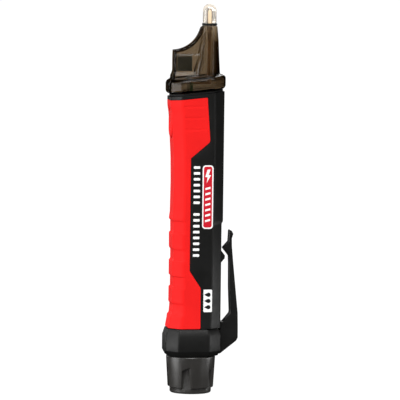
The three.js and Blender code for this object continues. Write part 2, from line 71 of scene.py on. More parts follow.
BODY_LOW, BODY_TOP = foot_of("grip_overmould").z, 138.0
RING_LOW, RING_TOP = foot_of("clip_collar").z, 29.2
RING_HALF_X = top_of("clip_collar").x
REAR_LOW, REAR_HIGH = 12.7, 13.3
GRIP_TOP = 132.9                # the red grip's top edge, at the tool's axis
SKIN = 1.6                      # thickness of the soft grip
SEAM = 0.15                     # clearance between the grip and its pocket, before rounding
SLANT = 0.105                   # rise of the nose joint per millimetre towards the rear
COLLAR_LOW, COLLAR_TOP = 135.7, 142.1
CONE_TOP = top_of("nose_housing").z
TIP_Y = (foot_of("tip_dome").y + top_of("tip_dome").y) / 2
DOME_R = (top_of("tip_dome").x - foot_of("tip_dome").x) / 2
DOME_TOP = top_of("tip_dome").z
STEM_LOW, STEM_TOP = 158.5, 166.3
TORCH_HALF_X, TORCH_FRONT, TORCH_REAR, TORCH_TOP = 3.8, -9.5, 4.6, CONE_TOP - 0.6
FLARE, FLARE_LOW, FLARE_TOP = 0.8, 142.6, 144.6     # the wider foot of the torch box
LEDGE, LEDGE_Z = 0.45, 152.1    # the step in the sides of the torch box
WEB_R, WEB_Y, WEB_Z = 12.8, -9.6, 167.0
NOSE_WALL = 1.2
BUTTON_Z = (foot_of("power_button").z + top_of("power_button").z) / 2
BUTTON_HALF_X, BUTTON_HALF_Z = top_of("power_button").x, top_of("power_button").z - BUTTON_Z
CLIP_HALF_X = top_of("clip_arm").x
CAP_TOP, CAP_TOP_R, CAP_LOW_R, CAP_FLAT_R, CAP_FLOOR = 16.7, 11.05, 10.3, 8.4, 7.6
LIP_R, LOBE_LOW = 9.3, 2.4      # lip under the cap's gripping lobes
NECK_R, NECK_BORE_R, NECK_TOP = 6.9, 5.95, top_of("battery_cap").z
BEAD_R = 7.65                   # bead on the cap's neck, above the O-ring
PITCH, THREAD_CREST_R, THREAD_LOW, THREAD_TURNS = 2.6, 7.6, 21.4, 1.75
FLUTES, FLUTE_TURN, FLUTE_FLOOR_R, SLOPE_FLOOR_R = 5, -17.9, 9.0, 9.6
NECK_OUTER = 9.4                # the housing's round foot inside the clip collar
SOCKET_R, SOCKET_THREAD_R, SOCKET_TOP_R = 8.65, 7.95, 7.3
FLAT_TRIM = 0.41                # shortening of a section's flats for each millimetre of inset
FRONT_BEVEL = 0.85              # depth of a section's front bevels, as a share of their width
BEYOND = 20                     # past the body on every side, for tools that cut right through

# Places along the tool as (z, y of the front), (z, y of the rear), (z, half width) and, for the
# cone, (z, y of its middle, radius).
FRONT = [(29.6, -11.2), (33, -10.55), (36.5, -10.1), (42, -9.7), (62, -9.7), (79, -9.9),
         (81, -9.5), (95, -9.3), (106, -9.45), (115, -9.95), (126, -10.6), (129.5, -11.2),
         (138, -11.2)]
REAR = [(76.5, REAR_LOW), (77.5, REAR_HIGH)]
WIDTH = [(29.6, 10.5), (38, 10.05), (60, 9.85), (100, 9.85), (122, 10.05), (138, 10.4)]
CONE = [(132, 4.9, 7.4), (144, 5.25, 6.45), (151.5, 6.0, 5.3), (158.6, 6.53, 4.45),
        (CONE_TOP, TIP_Y, 3.5)]
RECESSES = [(35.3, 40.9), (47.5, 53.1), (59.7, 65.3), (72.0, 78.2)]
RECESS_DEPTH, RECESS_EDGE = 0.62, 0.55


# ---- mesh helpers -------------------------------------------------------------------------------

def build(name, verts, faces):
    """A mesh object from points in millimetres, with its faces turned outwards."""
    mesh = bpy.data.meshes.new(name)
    mesh.from_pydata([[c * MM for c in v] for v in verts], [], faces)
    shape = bmesh.new()
    shape.from_mesh(mesh)
    bmesh.ops.remove_doubles(shape, verts=shape.verts, dist=1e-7)
    bmesh.ops.recalc_face_normals(shape, faces=shape.faces)
    shape.to_mesh(mesh)
    shape.free()
    obj = bpy.data.objects.new(name, mesh)
    bpy.context.scene.collection.objects.link(obj)
    return obj


def settle(obj):
    """Applies the object's modifiers to its mesh."""
    seen = obj.evaluated_get(bpy.context.evaluated_depsgraph_get())
    mesh = bpy.data.meshes.new_from_object(seen)
    old = obj.data
    obj.modifiers.clear()
    obj.data = mesh
    bpy.data.meshes.remove(old)


def combine(base, tool, operation):
    """Joins the tool to the base, or cuts it from the base, and throws the tool away."""
    modifier = base.modifiers.new("combine", "BOOLEAN")
    modifier.operation = operation
    modifier.solver = "MANIFOLD"
    modifier.object = tool
    settle(base)
    mesh = tool.data
    bpy.data.objects.remove(tool)
    bpy.data.meshes.remove(mesh)


def join(base, *tools):
    for tool in tools:
        combine(base, tool, "UNION")


def cut(base, *tools):
    for tool in tools:
        combine(base, tool, "DIFFERENCE")


def clean(obj, near=0.004):
    """Welds slivers that the cuts left."""
    shape = bmesh.new()
    shape.from_mesh(obj.data)
    bmesh.ops.remove_doubles(shape, verts=shape.verts, dist=near * MM)
    bmesh.ops.dissolve_degenerate(shape, edges=shape.edges, dist=near * MM)
    shape.to_mesh(obj.data)
    shape.free()


def shade(obj, angle=40):
    """Shades the faces smoothly, except across edges sharper than the angle."""
    obj.data.shade_smooth()
    obj.data.set_sharp_from_angle(angle=math.radians(angle))
    return obj


def soften(obj, width, segments=3, angle=35):
    """Rounds the sharp edges and shades the faces smoothly between them."""
    bevel = obj.modifiers.new("edges", "BEVEL")
    bevel.width = width * MM
    bevel.segments = segments
    bevel.limit_method = "ANGLE"
    bevel.angle_limit = math.radians(angle)
    settle(obj)
    return shade(obj)


def melt(obj, voxel, rounds):
    """Turns joined solids into one moulded skin: a fine remesh, smoothed into fillets."""
    remesh = obj.modifiers.new("remesh", "REMESH")
    remesh.mode = "VOXEL"
    remesh.voxel_size = voxel * MM
    relax = obj.modifiers.new("relax", "SMOOTH")
    relax.factor = 0.5
    relax.iterations = rounds
    settle(obj)
    obj.data.shade_smooth()


def slice_up(obj, low, high, step):
    """Cuts rings of edges across a piece, so that it bends smoothly."""
    shape = bmesh.new()
    shape.from_mesh(obj.data)
    z = low
    while z <= high:
        everything = shape.verts[:] + shape.edges[:] + shape.faces[:]
        bmesh.ops.bisect_plane(shape, geom=everything, plane_co=(0, 0, z * MM), plane_no=UP)
        z += step
    shape.to_mesh(obj.data)
    shape.free()
    return obj


def move_points(obj, change):
    """Replaces each point p, in millimetres, by change(p)."""
    for vertex in obj.data.vertices:
        vertex.co = Vector(change(vertex.co / MM)) * MM
    return obj


def slanted(obj):
    """Raises every point by SLANT for each millimetre towards the rear."""
    shear = Matrix.Identity(4)
    shear[2][1] = SLANT
    obj.data.transform(shear)
    return obj


# ---- outlines and solids ------------------------------------------------------------------------

def rounded(corners, steps=6):
    """A polygon whose corners (x, y, radius) are arcs of `steps` chords."""
    outline = []
    for i, (x, y, radius) in enumerate(corners):
        if not radius:
            outline.append((x, y))
            continue
        corner = Vector((x, y))
        back = (Vector(corners[i - 1][:2]) - corner).normalized()
        ahead = (Vector(corners[(i + 1) % len(corners)][:2]) - corner).normalized()
        half = math.acos(max(-1.0, min(1.0, back.dot(ahead)))) / 2
        centre = corner + (back + ahead).normalized() * (radius / math.sin(half))
        reach = radius / math.tan(half)
        start = corner + back * reach - centre
        end = corner + ahead * reach - centre
        first = math.atan2(start.y, start.x)
        turn = (math.atan2(end.y, end.x) - first + math.pi) % (2 * math.pi) - math.pi
        for step in range(steps + 1):
            angle = first + turn * step / steps
            outline.append((centre.x + radius * math.cos(angle),
                            centre.y + radius * math.sin(angle)))
    return outline


def rectangle(x0, x1, y0, y1, radius=0, steps=5):
    return rounded([(x0, y0, radius), (x1, y0, radius), (x1, y1, radius), (x0, y1, radius)], steps)


def eight_sided(half, front_flat, rear_flat, corners_y, radius=1, steps=3):
    """An outline with four bevelled corners, whose y values run from the front to the rear."""
    front, front_corner, rear_corner, rear = corners_y
    corners = [(-front_flat, front), (front_flat, front), (half, front_corner), (half, rear_corner),
               (rear_flat, rear), (-rear_flat, rear), (-half, rear_corner), (-half, front_corner)]
    return rounded([(x, y, radius) for x, y in corners], steps)


def circle(radius, count=64):
    angles = [2 * math.pi * i / count for i in range(count)]
    return [(radius * math.cos(angle), radius * math.sin(angle)) for angle in angles]


def arc(centre_r, centre_z, radius, first, last, steps=6):
    """Points (r, z) on an arc between two angles in degrees."""
    angles = [math.radians(first + (last - first) * i / steps) for i in range(steps + 1)]
    return [(centre_r + radius * math.cos(angle), centre_z + radius * math.sin(angle))
            for angle in angles]


def along(stations, z, window=2.0):
    """Value at height z between stations (z, value), with the corners eased over a window."""
    spread = z + np.linspace(-window, window, 9)
    return float(np.mean(np.interp(spread, [s[0] for s in stations], [s[1] for s in stations])))


def loft(name, levels):
    """Rings with the same number of points, as (z, ring), closed at both ends."""
    count = len(levels[0][1])
    verts = [(x, y, z) for z, ring in levels for x, y in ring]
    faces = []
    for level in range(len(levels) - 1):
        low = level * count
        for i in range(count):
            j = (i + 1) % count
            faces.append((low + i, low + j, low + count + j, low + count + i))
    faces.append(tuple(reversed(range(count))))
    faces.append(tuple(range((len(levels) - 1) * count, len(levels) * count)))
    return build(name, verts, faces)


def prism(name, outline, low, high):
    return loft(name, [(low, outline), (high, outline)])


def slab(name, outline, low, high):
    """An outline of (y, z) points carried along X."""
    count = len(outline)
    verts = [(x, y, z) for x in (low, high) for y, z in outline]
    faces = [(i, (i + 1) % count, count + (i + 1) % count, count + i) for i in range(count)]
    faces += [tuple(reversed(range(count))), tuple(range(count, 2 * count))]
    return build(name, verts, faces)


def turned(name, profile, segments=96, y=0.0):
    """A closed profile of (radius, z) points turned about the vertical line through (0, y)."""
    verts = []
    for i in range(segments):
        angle = 2 * math.pi * i / segments
        verts += [(r * math.cos(angle), y + r * math.sin(angle), z) for r, z in profile]
    count = len(profile)
    faces = []
    for i in range(segments):
        a, b = i * count, ((i + 1) % segments) * count
        for k in range(count):
            m = (k + 1) % count
            if profile[k][0] < 1e-6 and profile[m][0] < 1e-6:
                continue
            faces.append((a + k, b + k, b + m, a + m))
    return build(name, verts, faces)


# ---- the grip's outer form ----------------------------------------------------------------------

def section(half_x, front, rear, front_flat=5.2, rear_flat=5.0, inset=0.0, radius=2.4):
    """The tool's eight-sided section with soft corners, drawn in by `inset`."""
    low, high = front + inset, rear - inset
    trim = inset * FLAT_TRIM
    front_corner = low + (half_x - front_flat) * FRONT_BEVEL - trim
    rear_corner = high - (half_x - rear_flat) + trim
    soft = max(0.6, radius - inset * 0.5)
    return eight_sided(half_x - inset, front_flat - trim, rear_flat - trim,
                       (low, front_corner, rear_corner, high), soft, 8)


def recess(z):
    """Depth of the finger recesses at height z."""
    for low, high in RECESSES:
        if low < z < high:
            share = min(z - low, high - z, RECESS_EDGE) / RECESS_EDGE
            return RECESS_DEPTH * share * share * (3 - 2 * share)
    return 0.0


def side_x(z):
    """Half the body's width at height z."""
    return along(WIDTH, z)


def body_ring(z, inset=0.0, pads=False, sink=0.0):
    """The body's section at height z, its front cut by the recesses or moved back by `sink`."""
    front = along(FRONT, z, 1.2) + sink + (recess(z) if pads else 0.0)
    return section(side_x(z), front, along(REAR, z, 0.3), inset=inset)


def body_form(name, low, high, step, **shape):
    count = int(round((high - low) / step))
    heights = [low + (high - low) * i / count for i in range(count + 1)]
    return loft(name, [(z, body_ring(z, **shape)) for z in heights])


def core(inset):
    """What lies under the grip, which is thicker at the front for the recesses."""
    return body_form("core", 20, 150, 2.0, inset=inset, sink=0.35)


def grip_outline(grow=0.0):
    """Side view of the red grip, grown by `grow` on its rear side."""
    bend = grow * 0.4
    return rounded([
        (-BEYOND, BODY_LOW - grow, 0), (2.5 + grow, BODY_LOW - grow, 0.5),
        (2.5 + grow, 47.9 - bend, 2.0), (-2.6 + grow, 55.6 + bend, 2.0),
        (-2.6 + grow, 106.2 - bend, 1.2), (6.1 + grow, 113.6 - bend, 2.0),
        (4.6 + grow, GRIP_TOP + SLANT * 4.6 + grow, 0.5),
        (-BEYOND, GRIP_TOP - SLANT * BEYOND + grow, 0)])


def key_outline(grow):
    side, end = BUTTON_HALF_X + grow, BUTTON_HALF_Z + grow
    return rectangle(-side, side, -end, end, side - 0.02, 14)


def key_levels(name, levels):
    """Stacks key outlines along Y, as (y, outline)."""
    obj = loft(name, [(-y, outline) for y, outline in levels])
    turn = Matrix.Rotation(math.radians(90), 4, "X")
    obj.data.transform(Matrix.Translation((0, 0, BUTTON_Z * MM)) @ turn)
    return obj


# ---- materials ----------------------------------------------------------------------------------

NOISE_LOW, NOISE_HIGH = 0.3, 0.7    # the part of a noise's range that is spread over a result


def material(name, color, roughness, **sockets):
    """A material on one Principled shader, with its node tree and that shader."""
    made = bpy.data.materials.new(name)
    made.use_nodes = True
    shader = made.node_tree.nodes["Principled BSDF"]
    shader.inputs["Base Color"].default_value = (*color, 1)
    shader.inputs["Roughness"].default_value = roughness
    for socket, value in sockets.items():
        shader.inputs[socket.replace("_", " ")].default_value = value
    return made, made.node_tree, shader


def noise(tree, scale, detail=3.0, rough=0.55, stretch=None):
    """Noise in object space, in cycles per metre."""
    place = tree.nodes.new("ShaderNodeTexCoord")
    source = place.outputs["Object"]
    if stretch:
        mapping = tree.nodes.new("ShaderNodeMapping")
        mapping.inputs["Scale"].default_value = stretch
        tree.links.new(source, mapping.inputs["Vector"])
        source = mapping.outputs["Vector"]
    made = tree.nodes.new("ShaderNodeTexNoise")
    made.inputs["Scale"].default_value = scale
    made.inputs["Detail"].default_value = detail
    made.inputs["Roughness"].default_value = rough
    tree.links.new(source, made.inputs["Vector"])
    return made.outputs["Fac"]


def vary(tree, fac, low, high, target):
    """Sends a noise value, spread from low to high, into a number socket."""
    span = tree.nodes.new("ShaderNodeMapRange")
    span.inputs["From Min"].default_value = NOISE_LOW
    span.inputs["From Max"].default_value = NOISE_HIGH
    span.inputs["To Min"].default_value = low
    span.inputs["To Max"].default_value = high
    tree.links.new(fac, span.inputs["Value"])
    tree.links.new(span.outputs["Result"], target)


def tint(tree, fac, color, drift, target):
    """Sends the colour into a socket, darker and lighter by the share `drift` along a noise."""
    ramp = tree.nodes.new("ShaderNodeValToRGB")
    dark, light = ramp.color_ramp.elements
    dark.position = NOISE_LOW
    dark.color = (*[c * (1 - drift) for c in color], 1)
    light.position = NOISE_HIGH
    light.color = (*[min(1, c * (1 + drift)) for c in color], 1)
    tree.links.new(fac, ramp.inputs["Fac"])
    tree.links.new(ramp.outputs["Color"], target)


def grain(tree, shader, fac, strength, distance):
    """Raises the surface by a noise value, with distance in millimetres."""
    bump = tree.nodes.new("ShaderNodeBump")
    bump.inputs["Strength"].default_value = strength
    bump.inputs["Distance"].default_value = distance * MM
    tree.links.new(fac, bump.inputs["Height"])
    tree.links.new(bump.outputs["Normal"], shader.inputs["Normal"])


def moulded(name, color, roughness, grain_scale, grain_depth, drift=0.12, **sockets):
    """Moulded plastic or rubber: spark-eroded grain, with a slow drift of colour and gloss."""
    made, tree, shader = material(name, color, roughness, **sockets)
    gloss = shader.inputs["Roughness"]
    tint(tree, noise(tree, 90, 4.0), color, drift, shader.inputs["Base Color"])
    vary(tree, noise(tree, 260, 3.0), roughness - 0.05, roughness + 0.06, gloss)
    grain(tree, shader, noise(tree, grain_scale, 2.0, 0.7), 0.55, grain_depth)
    return made


def clear(name, color, roughness, transmission, **sockets):
    """Tinted clear plastic, with a faint flow in its colour."""
    made, tree, shader = material(name, color, roughness, Transmission_Weight=transmission,
                                  **sockets)
    flow = noise(tree, 60, 3.0, 0.5, (1, 1, 0.35))
    tint(tree, flow, color, 0.06, shader.inputs["Base Color"])
    grain(tree, shader, noise(tree, 350, 2.0), 0.08, 0.05)
    return made


def steeped(made, color, density):
    """Makes a clear material darken with its thickness; density is per metre."""
    tree = made.node_tree
    depth = tree.nodes.new("ShaderNodeVolumeAbsorption")
    depth.inputs["Color"].default_value = (*color, 1)
    depth.inputs["Density"].default_value = density
    tree.links.new(depth.outputs["Volume"], tree.nodes["Material Output"].inputs["Volume"])
    return made


def metal(name, color, roughness):
    """Rolled metal strip with fine drawing lines."""
    made, tree, shader = material(name, color, roughness, Metallic=1.0)
    lines = noise(tree, 900, 2.0, 0.6, (1, 1, 12))
    vary(tree, lines, roughness - 0.08, roughness + 0.1, shader.inputs["Roughness"])
    grain(tree, shader, lines, 0.25, 0.01)
    return made


BLACK = moulded("black_moulding", (0.0095, 0.0095, 0.009), 0.42, 5200, 0.012,
                Specular_IOR_Level=0.3)
RED = moulded("red_soft_grip", (0.85, 0.011, 0.0105), 0.55, 4200, 0.016, drift=0.04,
              Specular_IOR_Level=0.12)
GREY = moulded("grey_cap_moulding", (0.031, 0.029, 0.0265), 0.33, 4600, 0.02,
               Specular_IOR_Level=1.0)
SMOKE = steeped(clear("smoked_nose", (0.93, 0.9, 0.86), 0.13, 1.0, IOR=1.32),
                (0.44, 0.35, 0.21), 1330)
MILKY = steeped(clear("milky_dome", (0.99, 0.96, 0.92), 0.1, 0.92, IOR=1.4),
                (0.8, 0.65, 0.45), 130)
# The strip's cut edge is coloured dark brown, giving the dark outline round its pale face.
BLADE_EDGE = moulded("dark_blade_edge", (0.13, 0.055, 0.03), 0.5, 2500, 0.006)
# A faint emission stands in for the light that the dome gathers on the strip.
BLADE_FACE = moulded("pale_blade_face", (1.0, 0.84, 0.66), 0.45, 2500, 0.004, drift=0.02,
                     Emission_Color=(1, 0.7, 0.3, 1), Emission_Strength=0.3)
BLADE_TAIL = moulded("copper_tail", (0.55, 0.38, 0.26), 0.45, 2500, 0.004)
SEAL = moulded("black_seal_rubber", (0.01, 0.01, 0.01), 0.55, 3000, 0.01, Specular_IOR_Level=0.2)
STEEL = metal("nickel_strip", (0.62, 0.62, 0.6), 0.25)
WHITE = moulded("white_moulding", (0.66, 0.64, 0.58), 0.42, 3000, 0.01)
DARK_BLOCK = moulded("torch_block_moulding", (0.2, 0.28, 0.36), 0.4, 3000, 0.01)
LAMP = clear("clear_lamp", (0.95, 0.94, 0.9), 0.05, 0.9, IOR=1.5)
BOARD = moulded("green_board", (0.012, 0.09, 0.035), 0.35, 1500, 0.006, Coat_Weight=0.5)
CHIP = moulded("black_chip", (0.012, 0.012, 0.013), 0.5, 2600, 0.008)
WRAP = moulded("cell_wrap", (0.03, 0.1, 0.3), 0.25, 900, 0.004, Coat_Weight=0.6)
PRINT_WHITE = moulded("white_print", (0.97, 0.97, 0.96), 0.45, 3500, 0.006, drift=0.03)
PRINT_RED = moulded("red_print", (0.6, 0.008, 0.022), 0.5, 3500, 0.006, drift=0.04,
                    Specular_IOR_Level=0.2)
PRINT_BLACK = moulded("black_print", (0.01, 0.01, 0.01), 0.45, 3500, 0.006)


def finish_piece(obj, surface, body, slot, *stands_for):
    """Gives a piece its material and body, and hides the CAD nodes it stands for; the slot is not
    used.
    """
    obj.data.materials.clear()
    obj.data.materials.append(surface)
    if body:
        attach(obj, body)
    if stands_for:
        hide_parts(*stands_for)


# ---- grip and housing ---------------------------------------------------------------------------

def grip_skin():
    """The red soft grip: a skin over the front, with finger recesses and shallow side grooves."""
    skin = body_form("grip_skin", BODY_LOW - 1, BODY_TOP, 0.5, pads=True)
    combine(skin, slab("side_view", grip_outline(), -BEYOND, BEYOND), "INTERSECT")
    cut(skin, core(SKIN))
    window = key_outline(0.25)
    cut(skin, key_levels("window", [(-BEYOND, window), (-5, window)]))
    for height in (118.9, 124.2, 129.2):
        groove = rectangle(-6.2, 2.2, height - 0.5, height + 0.5, 0.45, 4)
        floor = side_x(height) - 0.09
        cut(skin, slab("groove", groove, floor, BEYOND), slab("groove", groove, -BEYOND, -floor))
    clean(skin)
    return soften(skin, 0.22)


def housing_shell():
    """The black housing: its rear and side faces, the grip's pocket, and the cap's socket."""
    shell = body_form("housing_shell", BODY_LOW, BODY_TOP, 0.5)
    top = COLLAR_LOW - 1.2
    cut(shell, slanted(prism("top", rectangle(-30, 30, -30, 30), top, top + 30)))
    pocket = slab("pocket", grip_outline(SEAM), -BEYOND, BEYOND)
    cut(pocket, core(SKIN + 0.2))
    cut(shell, pocket)
    buried, face = REAR_LOW - 3, REAR_LOW - 0.4
    bump = rounded([(buried, 57.0, 0), (buried, 66.0, 0), (face, 65.0, 0.6), (14.65, 61.9, 0.5),
                    (14.5, 60.6, 0.5), (face, 58.0, 0.6)], 4)
    foot, rim = RING_LOW + 0.3, BODY_LOW - 0.2
    neck = [(0, foot), (NECK_OUTER, foot), (NECK_OUTER, rim), (8.5, rim), (8.5, 31), (0, 31)]
    join(shell, slab("bump", bump, -CLIP_HALF_X, CLIP_HALF_X), turned("neck", neck))
    socket = [(0, 10), (SOCKET_R, 10), (SOCKET_R, 20.2), (SOCKET_THREAD_R, 20.6),
              (SOCKET_THREAD_R, 28.4), (SOCKET_TOP_R, 29.2), (SOCKET_TOP_R, 33), (0, 33)]
    cavity = eight_sided(6.9, 3.6, 3.6, (-6.3, -3.2, 8.0, 11.2))
    well = key_outline(-2.2)
    cut(shell, turned("socket", socket), prism("cavity", cavity, 31, 150),
        key_levels("well", [(-14, well), (-2, well)]))
    clean(shell)
    return soften(shell, 0.2)


def thumb_key():
    """The rubber key: a low dome with a raised ring round a dimple."""
    face = foot_of("power_button").y
    crown = [(1.3, 0.0), (0.75, 0.0), (0.42, -0.12), (0.2, -0.45), (0.08, -1.0), (0.02, -1.7)]
    key = key_levels("thumb_key", [(face + depth, key_outline(grow)) for depth, grow in crown])
    stem = key_outline(-2.6)
    join(key, key_levels("stem", [(face + 1.0, stem), (top_of("power_button").y, stem)]))
    cut(key, key_levels("dimple", [(face - 1, key_outline(-2.3)), (face + 0.28, stem)]))
    clean(key)
    return soften(key, 0.12, 2, 30)


# ---- clip moulding ------------------------------------------------------------------------------

def clip_moulding():
    """The collar round the foot and the pocket clip that springs from it, as one moulding."""
    def ring(inset):
        return section(RING_HALF_X, -12.3, 12.75, 5.4, 5.2, inset, 1.6)

    collar = loft("clip_moulding", [(RING_LOW, ring(1.2)), (19.3, ring(0)), (26.0, ring(0)),
                                    (RING_TOP, ring(1.05))])
    outer = [(9.7, 17.6, 0), (12.9, 17.6, 0.5), (20.3, 23.4, 1.0), (20.95, 24.8, 0.8),
             (20.95, 28.5, 3.0), (20.8, 35.8, 0), (19.6, 47.5, 0), (18.5, 58.3, 0),
             (17.8, 66.0, 0)]
    tip = [(17.7, 69.6, 0.8), (18.35, 71.6, 0.5), (17.5, 73.3, 0.4), (16.9, 73.0, 0.3),
           (16.65, 68.0, 0.5), (14.05, 65.1, 0.35), (16.9, 61.4, 0.5)]
    inner = [(17.05, 58.3, 0), (17.15, 47.5, 0), (17.65, 35.8, 2.0), (14.4, 31.9, 0.4),
             (12.9, 31.9, 0), (12.9, 28.0, 0), (9.7, 28.0, 0)]
    join(collar, slab("arm", rounded(outer + tip + inner, 5), -CLIP_HALF_X, CLIP_HALF_X))
    hole = NECK_OUTER + 0.2
    cut(collar, turned("hole", [(0, 10), (hole, 10), (hole, 40), (0, 40)]))
    clean(collar)
    return soften(collar, 0.35, 3, 25)


# ---- battery cap --------------------------------------------------------------------------------

def thread_ridge(root, crest, root_width, crest_width):
    """The screw thread, as a ridge that fades at both ends."""
    steps = int(THREAD_TURNS * 72)
    verts, faces = [], []
    for i in range(steps + 1):
        share = i / steps
        swept = 2 * math.pi * THREAD_TURNS * share
        height = THREAD_LOW + PITCH * swept / (2 * math.pi)
        fade = min(1.0, share * 14, (1 - share) * 14)
        top = root + (crest - root) * max(0.2, fade)
        for radius, rise in ((root, -root_width / 2), (top, -crest_width / 2),
                             (top, crest_width / 2), (root, root_width / 2)):
            verts.append((radius * math.cos(swept), radius * math.sin(swept), height + rise))
    for i in range(steps):
        for side in range(4):
            a, b = 4 * i + side, 4 * i + (side + 1) % 4
            faces.append((a, a + 4, b + 4, b))
    faces += [(0, 1, 2, 3), (4 * steps + 3, 4 * steps + 2, 4 * steps + 1, 4 * steps)]
    return build("ridge", verts, faces)


def flute_cutter(outline, floor, lean, start):
    """A flute whose one side wall leans out by `lean` for each millimetre of depth."""
    def leaned(p):
        y = p.y + lean * (p.x - floor) - start if p.y > 0 else p.y
        return p.x, y, p.z

    return move_points(slab("flute", outline, floor, floor + 3), leaned)


def cap_shell():
    """The screw cap: gripping lobes over a narrower lip, and the threaded neck."""
    foot, shoulder, chamfer = 0.9, 0.45, 0.4
    lip = [(0, 0), (CAP_FLAT_R, 0)] + arc(LIP_R - foot, foot, foot, -75, 0, 8) + [(LIP_R, LOBE_LOW)]
    lobes = (arc(CAP_LOW_R - 0.6, LOBE_LOW + 0.65, 0.6, -90, -3) + [(CAP_TOP_R, CAP_TOP - 0.6)]
             + arc(CAP_TOP_R - shoulder, CAP_TOP - shoulder, shoulder, 10, 90, 4))
    neck = [(NECK_R, CAP_TOP), (NECK_R, 19.3), (BEAD_R, 19.4), (BEAD_R, 19.9), (NECK_R, 20.0),
            (NECK_R, NECK_TOP - chamfer), (NECK_R - chamfer, NECK_TOP), (NECK_BORE_R, NECK_TOP),
            (NECK_BORE_R, CAP_FLOOR), (0, CAP_FLOOR)]
    cap = turned("cap_shell", lip + lobes + neck, 144)
    low = LOBE_LOW - 0.4
    trough = rounded([(-2.6, low, 0), (2.1, low, 0), (0.75, 12.2, 0.3), (-2.4, 10.4, 0.3)], 4)
    slope = rounded([(-2.2, low, 0), (3.1, low, 0), (0.97, 12.1, 0.2), (-2.0, 10.5, 0.2)], 4)
    for i in range(FLUTES):
        turn = Matrix.Rotation(math.radians(FLUTE_TURN + 360 * i / FLUTES), 4, "Z")
        for flute in (flute_cutter(trough, FLUTE_FLOOR_R, 0.65, 0.75),
                      flute_cutter(slope, SLOPE_FLOOR_R, 1.5, 1.05)):
            flute.data.transform(turn)
            cut(cap, flute)
    clean(cap)
    soften(cap, 0.22, 3, 32)
    join(cap, thread_ridge(NECK_R - 0.3, THREAD_CREST_R, 1.0, 0.6))
    return shade(cap, 20)


# ---- nose and tip -------------------------------------------------------------------------------

def cone_form(name, wall, low, high, squeeze=1.0):
    """The cone, thinned by `wall` and narrowed from front to rear by `squeeze`."""
    heights, middles, radii = zip(*CONE)
    rings = []
    for i in range(41):
        z = low + (high - low) * i / 40
        middle = float(np.interp(z, heights, middles))
        ring = circle(np.interp(z, heights, radii) - wall)
        rings.append((z, [(x, middle + y * squeeze) for x, y in ring]))
    return loft(name, rings)


def torch_form(name, wall, low):
    """The torch box: a flared foot, straight sides, and the web that narrows into the cone."""
    width = [(FLARE_LOW, TORCH_HALF_X + FLARE), (FLARE_TOP, TORCH_HALF_X),
             (LEDGE_Z - 0.3, TORCH_HALF_X), (LEDGE_Z + 0.3, TORCH_HALF_X - LEDGE),
             (160, TORCH_HALF_X - 1.0), (TORCH_TOP, TORCH_HALF_X - 1.7)]
    heights = [*np.linspace(low, TORCH_TOP, 60), *np.linspace(LEDGE_Z - 0.5, LEDGE_Z + 0.5, 6)]
    soft = 0.4 if wall else 1.0
    rings = []
    for z in sorted(heights):
        half = along(width, z, 0.3) - wall
        front = TORCH_FRONT + wall - along([(FLARE_LOW, FLARE), (FLARE_TOP, 0)], z, 0.6)
        rings.append((float(z), rounded([(-half, front, soft), (half, front, soft),
                                         (half, TORCH_REAR, 0.3), (-half, TORCH_REAR, 0.3)], 5)))
    box = loft(name, rings)
    curve = WEB_R + wall
    web = turned("web", [(0, -BEYOND), (curve, -BEYOND), (curve, BEYOND), (0, BEYOND)], 180)
    place = Matrix.Translation((0, WEB_Y * MM, WEB_Z * MM))
    web.data.transform(place @ Matrix.Rotation(math.radians(90), 4, "Y"))
    cut(box, web)
    return box


def nose_shell():
    """The smoked nose: collar, torch box, web and cone, hollow inside, with a spigot below."""
    def collar(z, inset):
        return z, section(11.2, -12.0, 13.7, 5.6, 5.3, inset, 2.6)

    low, top = COLLAR_LOW, COLLAR_TOP
    nose = slanted(loft("nose_shell", [collar(low, 0.9), collar(low + 1.1, 0),
                                       collar(top - 1.1, 0), collar(top, 1.0)]))
    soften(nose, 0.5, 3, 25)
    join(nose, cone_form("cone", 0, 139, CONE_TOP), torch_form("torch", 0, top - 3))
    melt(nose, 0.26, 5)
    void = [collar(low + 1.1, 1.25), collar(top - 2.2, 1.25), collar(top - 1.2, 2.0)]
    cut(nose, slanted(loft("void", void)))
    spigot = eight_sided(6.7, 3.6, 3.6, (-6.1, -3.2, 8.0, 11.0))
    join(nose, prism("spigot", spigot, 130.2, low + 1))
    inside = eight_sided(5.7, 3.1, 3.1, (-5.1, -2.8, 7.6, 10.0))
    hollow = prism("nose_hollow", inside, 129, 140.5)
    bore = [(0, 158), (2.85, 158), (2.85, 170), (0, 170)]
    join(hollow, cone_form("cone", NOSE_WALL, 139.5, 163, 0.8),
         torch_form("torch", NOSE_WALL, 138.9), turned("bore", bore, 64, TIP_Y))
    cut(nose, hollow)
    clean(nose, 0.002)
    return shade(nose, 50)


def tip_lens():
    """The milky dome with its stem."""
    middle, bore = DOME_TOP - DOME_R, 1.85
    outer = [(2.5, STEM_LOW), (2.5, STEM_TOP), (DOME_R - 0.15, STEM_TOP), (DOME_R, STEM_TOP + 0.2)]
    outer += arc(0, middle, DOME_R, 0, 90, 20)
    inner = arc(0, middle - 0.6, bore, 90, 0, 14) + [(bore, STEM_LOW)]
    return shade(turned("tip_lens", outer + inner, 96, TIP_Y))


def seal_ring():
    low, high = foot_of("tip_seal_ring").z, top_of("tip_seal_ring").z
    edge, middle, bore = 0.2, 3.2, 2.75
    profile = arc(middle, high - edge, edge, 90, 0, 4) + arc(middle, low + edge, edge, 0, -90, 4)
    return shade(turned("seal_ring", profile + [(bore, low), (bore, high)], 96, TIP_Y))


